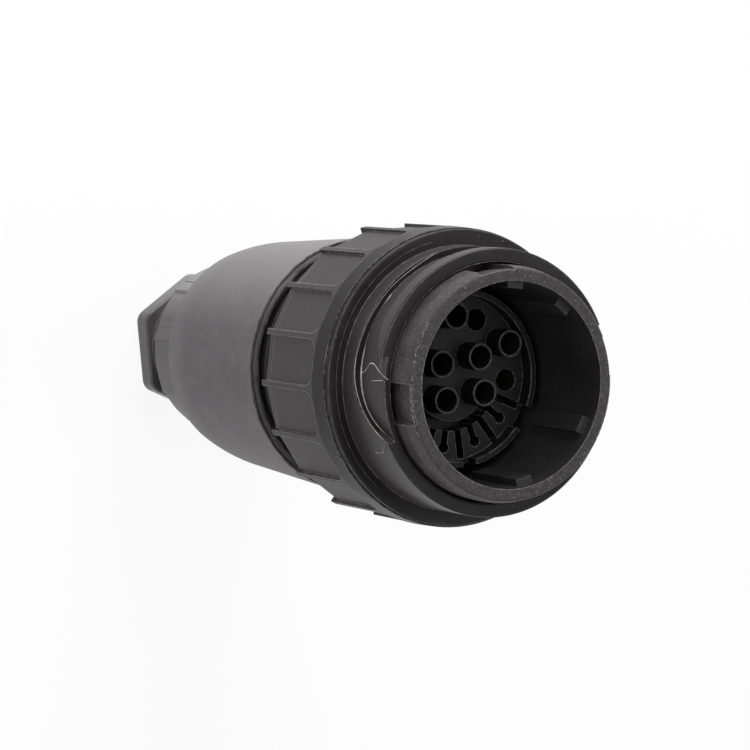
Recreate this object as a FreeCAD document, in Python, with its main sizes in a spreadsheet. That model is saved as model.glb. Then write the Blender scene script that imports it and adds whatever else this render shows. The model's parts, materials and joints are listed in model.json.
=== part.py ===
import FreeCAD, Part
import math
import os

import Sketcher

# A fifteen-way round cable plug. It stands on the flat rear of its gland nut with the mouth up.
# Z is the plug's axis, and Y lies in the plane of symmetry of the contact pattern.
# Every "at_" size is a depth behind the front plane of the mouth, in millimetres.
SIZES = {
    # front shell
    "bore_radius": 18.0,
    "rim_radius": 20.2,
    "rim_round": 0.4,
    "rim_length": 2.5,
    "land_radius": 20.65,
    "at_land_end": 34.0,
    "neck_radius": 20.0,
    "at_shell_end": 60.0,
    "clip_groove_radius": 18.7,
    "at_clip_front": 45.1,
    "clip_length": 1.6,
    "notch_depth": 0.75,
    "keyway_depth": 1.25,
    "at_keyway_front": 4.0,
    "at_keyway_rear": 12.0,
    "key_tip_radius": 16.7,
    "key_sweep": 10.2,
    "at_key_front": 2.0,
    "at_key_rear": 17.0,
    # coupling ring
    "lip_radius": 23.5,
    "at_lip": 5.5,
    "lip_round": 0.4,
    "ring_clearance": 0.35,
    "at_flange": 18.0,
    "bead_radius": 26.35,
    "bead_round": 0.4,
    "bead_length": 0.9,
    "bead_groove_depth": 0.2,
    "bead_groove_width": 0.3,
    "flange_radius": 26.6,
    "at_grip": 23.3,
    "rib_radius": 26.75,
    "at_ring_rear": 42.45,
    "ring_rear_round": 0.3,
    "ring_step": 0.9,
    "bearing_clearance": 0.3,
    "grip_count": 18.0,
    "grip_depth": 0.9,
    "grip_rear_depth": 1.45,
    "grip_rear_length": 2.3,
    "grip_flat_width": 8.23,
    "grip_corner_radius": 2.9,
    "ring_phase": 5.3,
    # bayonet grooves of the coupling ring
    "cam_floor_radius": 22.2,
    "at_cam_front": 8.5,
    "at_cam_rear": 14.15,
    "cam_start": 189.9,
    "cam_sweep": 130.0,
    "entry_angle": -0.35,
    "entry_high": -16.5,
    "entry_mouth_high": -9.84,
    "entry_lip_curve": 9.1,
    "entry_ramp": -7.5,
    "entry_ramp_curve": 12.2,
    "entry_bend": 0.8,
    "at_entry_bend": 10.9,
    "entry_bend_curve": 16.9,
    "entry_low": 4.7,
    # collar, washer and seal behind the ring
    "collar_radius": 22.0,
    "collar_fit": 0.05,
    "collar_gap": 0.4,
    "collar_length": 5.35,
    "washer_fit": 0.1,
    "washer_rim_gap": 0.3,
    "washer_thickness": 0.6,
    "seal_section": 0.9,
    "seal_gap": 2.3,
    # insert
    "insert_radius": 14.8,
    "insert_rim_radius": 15.8,
    "at_insert_rim": 17.8,
    "at_insert_face": 20.8,
    "insert_clearance": 0.1,
    "at_insert_flange": 30.0,
    "at_insert_rear": 42.0,
    "tower_height": 4.4,
    "tower_radius": 2.5,
    "tower_bore": 2.05,
    "tower_draft": 1.5,
    "plain_hole": 2.0,
    "outer_pitch": 11.25,
    "inner_x": 3.92,
    "inner_y": 3.23,
    "tower_spread": 66.0,
    "hole_near": 34.6,
    "hole_far": 102.5,
    "slot_depth": 5.0,
    "slot_width": 1.35,
    "slot_step": 29.9,
    "key_pitch": 12.6,
    "key_hole": 1.0,
    "key_slot_width": 1.25,
    "arc_inner": 7.85,
    "arc_outer": 9.6,
    "arc_start": 27.5,
    "arc_sweep": 125.0,
    "rim_gap_start": 134.0,
    "rim_gap_sweep": 17.0,
    "rim_foot_start": 85.0,
    "rim_foot_sweep": 10.0,
    # plate and clip behind the insert
    "plate_thickness": 3.0,
    "clip_bore": 16.2,
    "clip_fit": 0.1,
    "clip_gap_start": 75.0,
    "clip_sweep": 330.0,
    # contacts
    "socket_radius": 1.9,
    "socket_bore": 1.3,
    "socket_bore_depth": 9.0,
    "at_socket_front": 28.0,
    "tail_radius": 1.3,
    "at_tail_end": 54.0,
    "small_radius": 0.9,
    "small_bore": 0.5,
    "small_bore_depth": 6.0,
    "at_small_front": 30.0,
    "small_tail_radius": 0.65,
    "at_small_tail_end": 52.0,
    "plate_hole": 1.45,
    "small_plate_hole": 0.8,
    # rear housing
    "housing_radius": 23.65,
    "housing_gap": 4.5,
    "housing_edge": 0.1,
    "front_groove_outer": 0.35,
    "front_groove_width": 0.4,
    "front_groove_depth": 0.5,
    "shoulder_radius": 21.95,
    "at_shoulder": 83.0,
    "dome_curve": 68.0,
    "dome_end_radius": 20.5,
    "at_dome_end": 93.0,
    "end_round": 1.1,
    "counterbore_radius": 21.85,
    "counterbore_round": 0.4,
    "counterbore_depth": 3.3,
    "housing_thread_fit": 0.1,
    "housing_thread_length": 8.0,
    "cavity_radius": 19.3,
    "cavity_rear_radius": 18.5,
    "at_cavity_bend": 74.0,
    "cavity_end_radius": 14.5,
    "at_cavity_end": 78.0,
    "cable_window_radius": 9.0,
    "at_gland_seat": 80.0,
    "gland_bore": 13.4,
    # cable gland
    "grommet_fit": 0.1,
    "grommet_bore": 6.6,
    "grommet_chamfer": 0.8,
    "grommet_length": 7.0,
    "pressure_ring_bore": 8.4,
    "pressure_ring_thickness": 0.8,
    "stem_clearance": 0.3,
    "stem_gap": 0.1,
    "cable_bore": 7.5,
    "nut_collar_gap": 0.3,
    "nut_collar_radius": 16.9,
    "at_nut_collar_rear": 107.0,
    "tooth_height": 0.45,
    "tooth_sweep": 10.0,
    "tooth_count": 10.0,
    "tooth_phase": 345.2,
    "nut_neck_radius": 11.6,
    "at_hex": 118.6,
    "hex_thickness": 4.4,
    "hex_across_flats": 25.3,
    "hex_corner": 2.6,
    "hex_rim": 0.5,
    "hex_phase": -1.95,
}

doc = FreeCAD.newDocument("cable_plug")
sheet = doc.addObject("Spreadsheet::Sheet", "Sizes")
for row, (alias, value) in enumerate(SIZES.items(), start=1):
    sheet.set("A%d" % row, alias)
    sheet.set("B%d" % row, str(value))
    sheet.setAlias("B%d" % row, alias)
doc.recompute()


class Dim:
    # A number that also carries the sheet expression it comes from.
    def __init__(self, text, value):
        self.text = text
        self.value = value

    def mix(self, sign, other, value):
        other = dim(other)
        return Dim("(%s %s %s)" % (self.text, sign, other.text), value)

    def __add__(self, other):
        return self.mix("+", other, self.value + dim(other).value)

    def __sub__(self, other):
        return self.mix("-", other, self.value - dim(other).value)

    def __mul__(self, other):
        return self.mix("*", other, self.value * dim(other).value)

    def __truediv__(self, other):
        return self.mix("/", other, self.value / dim(other).value)

    def __neg__(self):
        return Dim("(0 - %s)" % self.text, -self.value)


def dim(value):
    return value if isinstance(value, Dim) else Dim("(%s)" % repr(float(value)), float(value))


def size(alias):
    return Dim("Sizes.%s" % alias, SIZES[alias])


def level(alias):
    # height above the base of a plane given as a depth behind the mouth
    return size("at_hex") + size("hex_thickness") - size(alias)


def cosine(angle):
    angle = dim(angle)
    return Dim("cos(%s)" % angle.text, math.cos(math.radians(angle.value)))


def sine(angle):
    angle = dim(angle)
    return Dim("sin(%s)" % angle.text, math.sin(math.radians(angle.value)))


ZERO = dim(0.0)
NODES = {}


def bind(thing, prop, value):
    value = dim(value)
    thing.setExpression(prop, value.text)


def new_body(name):
    return doc.addObject("PartDesign::Body", name)


def origin_plane(body, role):
    for feature in body.Origin.OriginFeatures:
        if feature.Role == role:
            return feature
    raise RuntimeError("no plane " + role)


def new_sketch(body, name, plane="XZ_Plane", offset=None):
    sketch = body.newObject("Sketcher::SketchObject", name)
    sketch.AttachmentSupport = [(origin_plane(body, plane), "")]
    sketch.MapMode = "FlatFace"
    if offset is not None:
        bind(sketch, "AttachmentOffset.Base.z", offset)
    return sketch


def fix_point(sketch, geo, pos, x, y):
    for value, kind, axis in ((dim(x), "DistanceX", -2), (dim(y), "DistanceY", -1)):
        if value.value == 0.0:
            sketch.addConstraint(Sketcher.Constraint("PointOnObject", geo, pos, axis))
        else:
            index = sketch.addConstraint(Sketcher.Constraint(kind, -1, 1, geo, pos, value.value))
            bind(sketch, "Constraints[%d]" % index, value)


def round_arc(start, end, radius, side):
    # the short arc of the given radius between two points; side 1 bulges to the left of the way
    chord = end.sub(start)
    half = chord.Length / 2.0
    normal = FreeCAD.Vector(-chord.y, chord.x, 0).normalize()
    centre = start.add(chord * 0.5).sub(normal * (side * math.sqrt(radius * radius - half * half)))
    first, last = (end, start) if side > 0 else (start, end)
    angles = [math.atan2(point.y - centre.y, point.x - centre.x) for point in (first, last)]
    if angles[1] < angles[0]:
        angles[1] += 2.0 * math.pi
    circle = Part.Circle(centre, FreeCAD.Vector(0, 0, 1), radius)
    return Part.ArcOfCircle(circle, angles[0], angles[1])


def outline(sketch, corners, arcs=None):
    # corners are joined in order; arcs gives {corner index: (radius, side)} for the edge that leaves it
    arcs = arcs or {}
    count = len(corners)
    points = [FreeCAD.Vector(dim(x).value, dim(y).value, 0) for x, y in corners]
    turned = {}
    ids = []
    for i in range(count):
        start, end = points[i], points[(i + 1) % count]
        if i in arcs:
            radius, side = arcs[i]
            curve = round_arc(start, end, radius.value, side)
            geo = sketch.addGeometry(curve, False)
            placed = sketch.Geometry[geo]
            turned[i] = placed.StartPoint.distanceToPoint(start) > 1e-6
        else:
            geo = sketch.addGeometry(Part.LineSegment(start, end), False)
            turned[i] = False
        ids.append(geo)
    for i in range(count):
        j = (i + 1) % count
        end_pos = 1 if turned[i] else 2
        start_pos = 2 if turned[j] else 1
        sketch.addConstraint(Sketcher.Constraint("Coincident", ids[i], end_pos, ids[j], start_pos))
    for i in range(count):
        fix_point(sketch, ids[i], 2 if turned[i] else 1, *corners[i])
    for i, (radius, side) in arcs.items():
        index = sketch.addConstraint(Sketcher.Constraint("Radius", ids[i], radius.value))
        bind(sketch, "Constraints[%d]" % index, radius)
    return ids


def circles(sketch, places, radius):
    radius = dim(radius)
    for x, y in places:
        centre = FreeCAD.Vector(dim(x).value, dim(y).value, 0)
        geo = sketch.addGeometry(Part.Circle(centre, FreeCAD.Vector(0, 0, 1), radius.value), False)
        fix_point(sketch, geo, 3, x, y)
        index = sketch.addConstraint(Sketcher.Constraint("Radius", geo, radius.value))
        bind(sketch, "Constraints[%d]" % index, radius)


def revolve(body, name, corners, arcs=None):
    sketch = new_sketch(body, name + "_section")
    outline(sketch, corners, arcs)
    turned = body.newObject("PartDesign::Revolution", name)
    turned.Profile = sketch
    turned.ReferenceAxis = (sketch, ["V_Axis"])
    turned.Angle = 360.0
    return turned


def pad(body, name, sketch, length, taper=None):
    grown = body.newObject("PartDesign::Pad", name)
    grown.Profile = sketch
    grown.Type = 0
    bind(grown, "Length", length)
    if taper is not None:
        bind(grown, "TaperAngle", taper)
    return grown


def pocket(body, name, sketch, length, flip=False):
    before = volume_of(body)
    sunk = body.newObject("PartDesign::Pocket", name)
    sunk.Profile = sketch
    sunk.Type = 0
    sunk.Reversed = flip
    bind(sunk, "Length", length)
    after = volume_of(body)
    if after > before - 1e-3:
        raise RuntimeError("%s cuts nothing" % name)
    return sunk


def volume_of(body):
    doc.recompute()
    return body.Shape.Volume


def polar(body, name, feature, count, sweep=360.0):
    pattern = body.newObject("PartDesign::PolarPattern", name)
    pattern.Originals = [feature]
    pattern.Axis = (origin_plane(body, "Z_Axis"), [""])
    pattern.Angle = sweep
    if isinstance(count, Dim):
        bind(pattern, "Occurrences", count)
    else:
        pattern.Occurrences = count
    body.Tip = pattern
    return pattern


def cylinder(name, radius, base, height, start=None, sweep=None):
    rod = doc.addObject("Part::Cylinder", name)
    bind(rod, "Radius", radius)
    bind(rod, "Height", height)
    bind(rod, "Placement.Base.z", base)
    if sweep is not None:
        bind(rod, "Angle", sweep)
        rod.Placement.Rotation = FreeCAD.Rotation(FreeCAD.Vector(0, 0, 1), dim(start).value)
        bind(rod, "Placement.Rotation.Angle", start)
    return rod


def cut(name, base, tool):
    result = doc.addObject("Part::Cut", name)
    result.Base = base
    result.Tool = tool
    return result


def fuse(name, parts):
    result = doc.addObject("Part::MultiFuse", name)
    result.Shapes = parts
    return result


def sector(name, inner, outer, base, height, start, sweep):
    # a slice of a tube, from radius inner to outer
    rod = cylinder(name + "_outer", outer, base, height, start, sweep)
    core = cylinder(name + "_core", inner, dim(base) - 1.0, dim(height) + 2.0)
    return cut(name, rod, core)


def node(name, thing):
    thing.Label = name
    NODES[name] = thing
    return thing


def spin(thing, angle):
    thing.Placement.Rotation = FreeCAD.Rotation(FreeCAD.Vector(0, 0, 1), dim(angle).value)
    bind(thing, "Placement.Rotation.Angle", angle)


# Front shell: a thick mating sleeve with outer lands, keyways sunk between them and keys inside the mouth.
top = size("at_hex") + size("hex_thickness")
shell_body = new_body("shell_body")
revolve(shell_body, "shell_turning", [
    (size("bore_radius"), top),
    (size("rim_radius") - size("rim_round"), top),
    (size("rim_radius"), top - size("rim_round")),
    (size("land_radius"), top - size("rim_length")),
    (size("land_radius"), level("at_land_end")),
    (size("neck_radius"), level("at_land_end")),
    (size("neck_radius"), level("at_shell_end")),
    (size("bore_radius"), level("at_shell_end")),
    (size("bore_radius"), level("at_clip_front") - size("clip_length")),
    (size("clip_groove_radius"), level("at_clip_front") - size("clip_length")),
    (size("clip_groove_radius"), level("at_clip_front")),
    (size("bore_radius"), level("at_clip_front")),
], {1: (size("rim_round"), 1)})
KEY_ANGLES = (256.4, 221.2, 145.9, 94.4)
keys = []
for number, angle in enumerate(KEY_ANGLES, start=1):
    keys.append(sector("mouth_key_%d" % number, size("key_tip_radius"), size("bore_radius") + 0.4,
                       level("at_key_rear"), size("at_key_rear") - size("at_key_front"),
                       dim(angle) - size("key_sweep") / 2, size("key_sweep")))
shell_with_keys = fuse("shell_with_keys", [shell_body] + keys)
KEYWAYS = ((-10.0, 20.0), (260.5, 20.0), (175.2, 20.0))
keyways = []
for number, (angle, sweep) in enumerate(KEYWAYS, start=1):
    keyways.append(sector("keyway_step_%d" % number, size("land_radius") - size("notch_depth"),
                          size("land_radius") + 1.0,
                          level("at_keyway_front") - 0.1, size("at_keyway_front") + 1.0, angle, sweep))
    keyways.append(sector("keyway_%d" % number, size("land_radius") - size("keyway_depth"),
                          size("land_radius") + 1.0, level("at_keyway_rear"),
                          size("at_keyway_rear") - size("at_keyway_front"), angle, sweep))
node("front_shell", cut("front_shell", shell_with_keys, fuse("keyway_cuts", keyways)))

# Coupling ring: a grip band with flats between narrow ribs, a flange, and a front tube
# that carries two J-shaped bayonet grooves, each entered through a ramped gap in the lip.
ring_bore = size("land_radius") + size("ring_clearance")
bearing = size("neck_radius") + size("bearing_clearance")
ring_step = level("at_land_end") - size("ring_step")
bead_rear = level("at_flange") - size("bead_length")
groove_rear = bead_rear - size("bead_groove_width")
ring_rear = level("at_ring_rear")
ring_body = new_body("ring_body")
revolve(ring_body, "ring_turning", [
    (ring_bore + size("lip_round"), level("at_lip")),
    (size("lip_radius") - size("lip_round"), level("at_lip")),
    (size("lip_radius"), level("at_lip") - size("lip_round")),
    (size("lip_radius"), level("at_flange")),
    (size("bead_radius") - size("bead_round"), level("at_flange")),
    (size("bead_radius"), level("at_flange") - size("bead_round")),
    (size("bead_radius"), bead_rear),
    (size("bead_radius") - size("bead_groove_depth"), bead_rear),
    (size("bead_radius") - size("bead_groove_depth"), groove_rear),
    (size("flange_radius"), groove_rear),
    (size("rib_radius"), level("at_grip")),
    (size("rib_radius"), ring_rear + size("ring_rear_round")),
    (size("rib_radius") - size("ring_rear_round"), ring_rear),
    (bearing, ring_rear),
    (bearing, ring_step),
    (ring_bore, ring_step),
    (ring_bore, level("at_lip") - size("lip_round")),
], {1: (size("lip_round"), 1), 4: (size("bead_round"), 1), 11: (size("ring_rear_round"), 1),
    16: (size("lip_round"), 1)})
half_flat = size("grip_flat_width") / 2
round_in = size("grip_corner_radius")
grip = new_sketch(ring_body, "grip_flat_outline", "YZ_Plane", size("rib_radius") - size("grip_depth"))
outline(grip, [
    (-half_flat, ring_rear - 1.0),
    (half_flat, ring_rear - 1.0),
    (half_flat, level("at_grip") - round_in),
    (half_flat - round_in, level("at_grip")),
    (round_in - half_flat, level("at_grip")),
    (-half_flat, level("at_grip") - round_in),
], {2: (round_in, -1), 4: (round_in, -1)})
flat_cut = pocket(ring_body, "grip_flat", grip, size("grip_depth") + 3.0, flip=True)
polar(ring_body, "grip_flats", flat_cut, size("grip_count"))
rear = new_sketch(ring_body, "grip_rear_outline", "YZ_Plane", size("rib_radius") - size("grip_rear_depth"))
outline(rear, [
    (-half_flat, ring_rear - 1.0),
    (half_flat, ring_rear - 1.0),
    (half_flat, ring_rear + size("grip_rear_length")),
    (-half_flat, ring_rear + size("grip_rear_length")),
])
rear_cut = pocket(ring_body, "grip_rear", rear, size("grip_rear_depth") + 3.0, flip=True)
polar(ring_body, "grip_rears", rear_cut, size("grip_count"))

cams = []
for number, turn in enumerate((0.0, 180.0), start=1):
    entry = new_body("entry_%d" % number)
    behind = size("cam_floor_radius") * 0.65
    entry_sketch = new_sketch(entry, "entry_outline_%d" % number, "YZ_Plane", behind)
    outline(entry_sketch, [
        (size("entry_high"), level("at_cam_rear")),
        (size("entry_ramp"), level("at_cam_rear")),
        (size("entry_bend"), level("at_entry_bend")),
        (size("entry_low"), level("at_lip")),
        (size("entry_low"), level("at_lip") + 1.2),
        (size("entry_mouth_high"), level("at_lip") + 1.2),
        (size("entry_mouth_high"), level("at_lip") - size("lip_round") / 2),
        (size("entry_high"), level("at_cam_front")),
    ], {1: (size("entry_ramp_curve"), -1), 2: (size("entry_bend_curve"), -1), 6: (size("entry_lip_curve"), 1)})
    pad(entry, "entry_block_%d" % number, entry_sketch, size("lip_radius") - behind + 1.0)
    spin(entry, size("entry_angle") + turn)
    run = cylinder("cam_run_%d" % number, size("lip_radius") + 1.0, level("at_cam_rear"),
                   size("at_cam_rear") - size("at_cam_front"), size("cam_start") + turn, size("cam_sweep"))
    core = cylinder("cam_core_%d" % number, size("cam_floor_radius"), level("at_cam_rear") - 2.0, 20.0)
    cams.append(cut("cam_%d" % number, fuse("cam_path_%d" % number, [entry, run]), core))
coupling_ring = node("coupling_ring", cut("coupling_ring", ring_body, fuse("cams", cams)))
spin(coupling_ring, size("ring_phase"))

# Wave washer between the shell's step and the ring, and the collar that keeps the ring on.
washer = new_body("washer")
node("wave_washer", washer)
revolve(washer, "washer_turning", [
    (size("neck_radius") + size("washer_fit"), level("at_land_end")),
    (ring_bore - size("washer_rim_gap"), level("at_land_end")),
    (ring_bore - size("washer_rim_gap"), level("at_land_end") - size("washer_thickness")),
    (size("neck_radius") + size("washer_fit"), level("at_land_end") - size("washer_thickness")),
])
collar = new_body("collar")
node("locking_collar", collar)
collar_bore = size("neck_radius") + size("collar_fit")
collar_front = ring_rear - size("collar_gap")
collar_rear = collar_front - size("collar_length")
revolve(collar, "collar_turning", [
    (collar_bore, collar_front),
    (size("collar_radius") - 0.4, collar_front),
    (size("collar_radius"), collar_front - 0.4),
    (size("collar_radius"), collar_rear + 0.4),
    (size("collar_radius") - 0.4, collar_rear),
    (collar_bore, collar_rear),
])


def ring_seal(name, radius, section, at):
    seal = doc.addObject("Part::Torus", name)
    bind(seal, "Radius1", radius)
    bind(seal, "Radius2", section)
    bind(seal, "Placement.Base.z", at)
    return node(name, seal)


ring_seal("shell_seal", collar_bore + size("seal_section"), size("seal_section"), collar_rear - size("seal_gap"))

# Contact pattern: seven sleeved sockets, four plain holes and four keyhole seats.
pitch = size("outer_pitch")
TOWERS = [(ZERO, -pitch)]
for sign in (-1, 1):
    TOWERS.append((sine(size("tower_spread")) * pitch * sign, -(cosine(size("tower_spread")) * pitch)))
for sign_y in (-1, 1):
    for sign_x in (-1, 1):
        TOWERS.append((size("inner_x") * sign_x, size("inner_y") * sign_y))
PLAIN = []
for spread in (size("hole_near"), size("hole_far")):
    for sign in (-1, 1):
        PLAIN.append((sine(spread) * pitch * sign, -(cosine(spread) * pitch)))
KEYED = []
for steps in (-1.5, -0.5, 0.5, 1.5):
    turn = size("slot_step") * steps
    KEYED.append((sine(turn) * size("key_pitch"), cosine(turn) * size("key_pitch")))

# Insert: a stepped disc with a raised broken rim, sleeves, keyhole seats and slots between them.
insert_seat = size("bore_radius") - size("insert_clearance")
insert_body = new_body("insert_body")
revolve(insert_body, "insert_turning", [
    (ZERO, level("at_insert_rear")),
    (insert_seat, level("at_insert_rear")),
    (insert_seat, level("at_insert_flange")),
    (size("insert_rim_radius"), level("at_insert_flange")),
    (size("insert_rim_radius"), level("at_insert_rim")),
    (size("insert_radius"), level("at_insert_rim")),
    (size("insert_radius"), level("at_insert_face")),
    (ZERO, level("at_insert_face")),
])
sleeves = new_sketch(insert_body, "sleeve_circles", "XY_Plane", level("at_insert_face"))
circles(sleeves, TOWERS, size("tower_radius"))
pad(insert_body, "sleeves", sleeves, size("tower_height"), -size("tower_draft") + 0.0)
slot = new_sketch(insert_body, "slot_outline", "XY_Plane", level("at_insert_face"))
half_slot = size("slot_width") / 2
outline(slot, [
    (-half_slot, size("arc_outer") - 0.6),
    (half_slot, size("arc_outer") - 0.6),
    (half_slot, size("insert_radius")),
    (-half_slot, size("insert_radius")),
])
first_slot = pocket(insert_body, "middle_slot", slot, size("slot_depth"))
keyhole = new_sketch(insert_body, "keyhole_circles", "XY_Plane", level("at_insert_face"))
circles(keyhole, KEYED, size("key_hole"))
pocket(insert_body, "keyholes", keyhole, size("at_insert_rear") - size("at_insert_face") + 1.0)
holes = new_sketch(insert_body, "plain_hole_circles", "XY_Plane", level("at_insert_face"))
circles(holes, PLAIN, size("plain_hole"))
pocket(insert_body, "plain_holes", holes, size("at_insert_rear") - size("at_insert_face") + 1.0)
bores = new_sketch(insert_body, "sleeve_bore_circles", "XY_Plane", level("at_insert_face") + size("tower_height"))
circles(bores, TOWERS, size("tower_bore"))
pocket(insert_body, "sleeve_bores", bores,
       size("at_insert_rear") - size("at_insert_face") + size("tower_height") + 1.0)


def radial_box(name, width, inner, outer, base, height, angle):
    # a straight-sided slot along a radius; angle 0 points along +Y
    box = doc.addObject("Part::Box", name)
    bind(box, "Length", width)
    bind(box, "Width", dim(outer) - inner)
    bind(box, "Height", height)
    turn = dim(angle)
    box.Placement.Rotation = FreeCAD.Rotation(FreeCAD.Vector(0, 0, 1), turn.value)
    bind(box, "Placement.Rotation.Angle", turn)
    half = dim(width) / 2
    bind(box, "Placement.Base.x", -(cosine(turn) * half) - sine(turn) * dim(inner))
    bind(box, "Placement.Base.y", -(sine(turn) * half) + cosine(turn) * dim(inner))
    bind(box, "Placement.Base.z", base)
    return box


slot_floor = level("at_insert_face") - size("slot_depth")
insert_cuts = [sector("seat_arc", size("arc_inner"), size("arc_outer"), slot_floor, size("slot_depth") + 0.5,
                      size("arc_start"), size("arc_sweep"))]
for number, steps in enumerate((-2.0, -1.0, 1.0, 2.0), start=1):
    insert_cuts.append(radial_box("side_slot_%d" % number, size("slot_width"), size("arc_outer") - 0.6,
                                  size("insert_radius"), slot_floor, size("slot_depth") + 0.5,
                                  size("slot_step") * steps))
for number, steps in enumerate((-1.5, -0.5, 0.5, 1.5), start=1):
    insert_cuts.append(radial_box("key_slot_%d" % number, size("key_slot_width"), size("arc_outer") - 0.5,
                                  size("key_pitch"), slot_floor, size("slot_depth") + 0.5,
                                  size("slot_step") * steps))
rim_gaps = (
    ("rim_gap_left", size("rim_gap_start"), size("rim_gap_sweep")),
    ("rim_gap_right", dim(180.0) - size("rim_gap_start") - size("rim_gap_sweep"), size("rim_gap_sweep")),
    ("rim_gap_foot", size("rim_foot_start"), size("rim_foot_sweep")),
)
for name, start, sweep in rim_gaps:
    insert_cuts.append(sector(name, size("insert_radius"), size("insert_rim_radius") + 1.0,
                              level("at_insert_face"), size("at_insert_face") - size("at_insert_rim") + 1.0,
                              start, sweep))
node("contact_insert", cut("contact_insert", insert_body, fuse("insert_cuts", insert_cuts)))

# Plate that holds the contacts from behind, and the spring clip that holds plate and insert in the shell.
plate = new_body("plate")
node("contact_plate", plate)
revolve(plate, "plate_turning", [
    (ZERO, level("at_insert_rear")),
    (insert_seat, level("at_insert_rear")),
    (insert_seat, level("at_insert_rear") - size("plate_thickness")),
    (ZERO, level("at_insert_rear") - size("plate_thickness")),
])
tail_holes = new_sketch(plate, "tail_hole_circles", "XY_Plane", level("at_insert_rear"))
circles(tail_holes, TOWERS + PLAIN, size("plate_hole"))
pocket(plate, "tail_holes", tail_holes, size("plate_thickness") + 1.0)
small_holes = new_sketch(plate, "small_tail_hole_circles", "XY_Plane", level("at_insert_rear"))
circles(small_holes, KEYED, size("small_plate_hole"))
pocket(plate, "small_tail_holes", small_holes, size("plate_thickness") + 1.0)
clip = sector("spring_clip", size("clip_bore"), size("clip_groove_radius") - size("clip_fit"),
              level("at_clip_front") - size("clip_length") + size("clip_fit"), size("clip_length") - size("clip_fit"),
              size("clip_gap_start") + 30.0, size("clip_sweep"))
node("spring_clip", clip)


def socket(name, place, radius, bore, bore_depth, front, tail_radius, tail_end):
    # a turned contact with its shoulder on the plate and its tail through the hole in it
    body = new_body(name)
    revolve(body, name + "_turning", [
        (ZERO, tail_end),
        (tail_radius, tail_end),
        (tail_radius, level("at_insert_rear")),
        (radius, level("at_insert_rear")),
        (radius, front),
        (bore, front),
        (bore, front - bore_depth),
        (ZERO, front - bore_depth),
    ])
    bind(body, "Placement.Base.x", place[0])
    bind(body, "Placement.Base.y", place[1])
    return node(name, body)


groups = (("sleeve_socket", TOWERS), ("plain_socket", PLAIN))
for stem, places in groups:
    for number, place in enumerate(places, start=1):
        socket("%s_%d" % (stem, number), place, size("socket_radius"), size("socket_bore"),
               size("socket_bore_depth"), level("at_socket_front"), size("tail_radius"), level("at_tail_end"))
for number, place in enumerate(KEYED, start=1):
    socket("key_socket_%d" % number, place, size("small_radius"), size("small_bore"),
           size("small_bore_depth"), level("at_small_front"), size("small_tail_radius"),
           level("at_small_tail_end"))

# Rear housing: a hollow ogive with a counterbored front, a cable space and a seat for the gland.
housing = new_body("housing")
node("rear_housing", housing)
housing_front = collar_rear - size("housing_gap")
groove_outer = size("housing_radius") - size("front_groove_outer")
groove_inner = groove_outer - size("front_groove_width")
bore_front = housing_front - size("counterbore_depth")
thread_end = bore_front - size("housing_thread_length")
thread_radius = size("neck_radius") + size("housing_thread_fit")
end_face = level("at_dome_end") - size("end_round")
revolve(housing, "housing_turning", [
    (size("housing_radius") - size("housing_edge"), housing_front),
    (size("housing_radius"), housing_front - size("housing_edge")),
    (size("shoulder_radius"), level("at_shoulder")),
    (size("dome_end_radius"), level("at_dome_end")),
    (size("dome_end_radius") - size("end_round"), end_face),
    (size("gland_bore"), end_face),
    (size("gland_bore"), level("at_gland_seat")),
    (size("cable_window_radius"), level("at_gland_seat")),
    (size("cable_window_radius"), level("at_cavity_end")),
    (size("cavity_end_radius"), level("at_cavity_end")),
    (size("cavity_rear_radius"), level("at_cavity_bend")),
    (size("cavity_radius"), thread_end),
    (thread_radius, thread_end),
    (thread_radius, bore_front),
    (size("counterbore_radius"), bore_front),
    (size("counterbore_radius"), housing_front - size("counterbore_round")),
    (size("counterbore_radius") + size("counterbore_round"), housing_front),
    (groove_inner, housing_front),
    (groove_inner, housing_front - size("front_groove_depth")),
    (groove_outer, housing_front - size("front_groove_depth")),
    (groove_outer, housing_front),
], {2: (size("dome_curve"), 1), 3: (size("end_round"), 1), 15: (size("counterbore_round"), 1)})

# Cable gland: rubber grommet, pressure ring and the hexagon nut that squeezes them.
grommet_radius = size("gland_bore") - size("grommet_fit")
grommet_rear = level("at_gland_seat") - size("grommet_length")
grommet = new_body("grommet")
node("cable_grommet", grommet)
revolve(grommet, "grommet_turning", [
    (size("grommet_bore"), level("at_gland_seat")),
    (grommet_radius - size("grommet_chamfer"), level("at_gland_seat")),
    (grommet_radius, level("at_gland_seat") - size("grommet_chamfer")),
    (grommet_radius, grommet_rear + size("grommet_chamfer")),
    (grommet_radius - size("grommet_chamfer"), grommet_rear),
    (size("grommet_bore"), grommet_rear),
])
stem_radius = size("gland_bore") - size("stem_clearance")
ring_end = grommet_rear - size("pressure_ring_thickness")
pressure = new_body("pressure")
node("pressure_ring", pressure)
revolve(pressure, "pressure_turning", [
    (size("pressure_ring_bore"), grommet_rear),
    (stem_radius, grommet_rear),
    (stem_radius, ring_end),
    (size("pressure_ring_bore"), ring_end),
])
stem_front = ring_end - size("stem_gap")
nut_collar_front = end_face - size("nut_collar_gap")
nut_collar_rear = level("at_nut_collar_rear")
nut = new_body("nut")
revolve(nut, "nut_turning", [
    (size("cable_bore"), stem_front),
    (stem_radius - 0.5, stem_front),
    (stem_radius, stem_front - 0.5),
    (stem_radius, nut_collar_front),
    (size("nut_collar_radius"), nut_collar_front),
    (size("nut_collar_radius"), nut_collar_rear),
    (size("nut_neck_radius"), nut_collar_rear),
    (size("nut_neck_radius"), ZERO),
    (size("cable_bore"), ZERO),
])
tooth = new_sketch(nut, "tooth_outline", "XY_Plane", nut_collar_rear)
tip = size("nut_collar_radius") + size("tooth_height")
root = size("nut_collar_radius") - 0.4
toe = size("nut_collar_radius") + 0.02
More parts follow.
